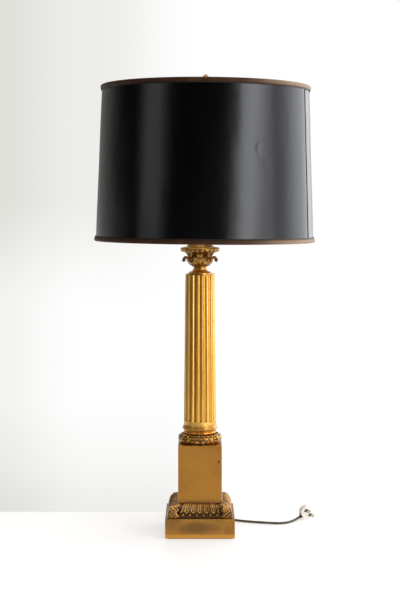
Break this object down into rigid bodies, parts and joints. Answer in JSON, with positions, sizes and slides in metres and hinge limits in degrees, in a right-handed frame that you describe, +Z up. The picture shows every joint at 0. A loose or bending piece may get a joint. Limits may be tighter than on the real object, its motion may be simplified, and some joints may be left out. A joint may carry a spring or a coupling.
{
  "type": "column table lamp",
  "caption": "Gilt-brass column table lamp on a square plinth, with a laurel wreath, a leafy capital, a black drum shade on a harp and a two-blade plug.",
  "frame": {"origin": "middle of the felt's underside, on the table", "axes": "+Z up along the column, +X to the right seen from the front, -Y towards the viewer"},
  "size_m": [0.4189, 0.4105, 0.8523],
  "materials": {
    "gilt_brass": "lacquered antique gilt, satin",
    "holder_brass": "plain bright stamped brass",
    "contact_brass": "bare contact brass",
    "zinc_steel": "zinc plated",
    "ring_steel": "dark bronze lacquer",
    "cast_iron": "raw casting",
    "felt": "dark green pressed felt",
    "black_shade": "satin black laminated paper",
    "shade_lining": "matte cream inner face",
    "brown_trim": "folded brown tape",
    "liner_board": "insulating board",
    "porcelain": "white glaze",
    "black_knob": "moulded black",
    "bulb_glass": "frosted",
    "olive_flex": "dull olive-brown round flex",
    "dark_rubber": "moulded rubber",
    "white_plug": "white moulded plastic"
  },
  "bodies": {
    "stand": {"felt_pad": "felt", "plinth": "gilt_brass", "base_weight": "cast_iron", "rod_washer": "zinc_steel", "rod_nut": "zinc_steel", "threaded_tube": "zinc_steel", "leaf_collar": "gilt_brass", "pedestal": "gilt_brass", "laurel_wreath": "gilt_brass", "column_base": "gilt_brass", "column_shaft": "gilt_brass", "shaft_cap": "gilt_brass", "capital_foot": "gilt_brass", "capital_bowl": "gilt_brass", "drip_pan": "gilt_brass", "pan_cover": "gilt_brass", "neck": "gilt_brass", "harp_saddle": "holder_brass", "harp_bow": "holder_brass", "harp_stud": "holder_brass", "socket_cap": "holder_brass", "socket_shell": "holder_brass", "socket_liner": "liner_board", "socket_core": "porcelain", "screw_shell": "contact_brass", "centre_contact": "contact_brass", "inner_lead": "olive_flex", "cord_grommet": "dark_rubber", "cord_lead": "olive_flex", "cord_coil": "olive_flex", "cord_tail": "olive_flex", "coil_tie": "dark_rubber", "plug_body": "white_plug", "plug_blades": "contact_brass"},
    "left_ferrule": {"ferrule_left": "holder_brass"},
    "right_ferrule": {"ferrule_right": "holder_brass"},
    "switch": {"switch_spindle": "contact_brass", "switch_knob": "black_knob"},
    "bulb": {"bulb_glass": "bulb_glass", "bulb_cap": "zinc_steel"},
    "shade": {"shade_shell": "black_shade", "shade_lining": "shade_lining", "top_ring": "ring_steel", "bottom_ring": "ring_steel", "top_trim": "brown_trim", "bottom_trim": "brown_trim", "spider_hub": "ring_steel", "spider_arm_left": "ring_steel", "spider_arm_right": "ring_steel", "spider_arm_back": "ring_steel"},
    "finial": {"finial": "gilt_brass"}
  },
  "joints": [
    {"name": "shade_turn", "type": "hinge", "parent": "stand", "child": "shade", "pos_m": [0.01051, 0, 0.81798], "axis": [0.0079, 0, 1], "continuous": true},
    {"name": "finial_turn", "type": "hinge", "parent": "stand", "child": "finial", "pos_m": [0.01051, 0, 0.81798], "axis": [0.0079, 0, 1], "continuous": true},
    {"name": "left_ferrule_slide", "type": "slide", "parent": "stand", "child": "left_ferrule", "axis": [0.041, 0, 0.9992], "range_m": [0, 0.016]},
    {"name": "right_ferrule_slide", "type": "slide", "parent": "stand", "child": "right_ferrule", "axis": [0.041, 0, 0.9992], "range_m": [0, 0.016]},
    {"name": "switch_turn", "type": "hinge", "parent": "stand", "child": "switch", "pos_m": [0, -0.0272, 0.5832], "axis": [0, -1, 0], "continuous": true},
    {"name": "bulb_turn", "type": "hinge", "parent": "stand", "child": "bulb", "pos_m": [0, 0, 0.5894], "axis": [0, 0, 1], "continuous": true}
  ]
}
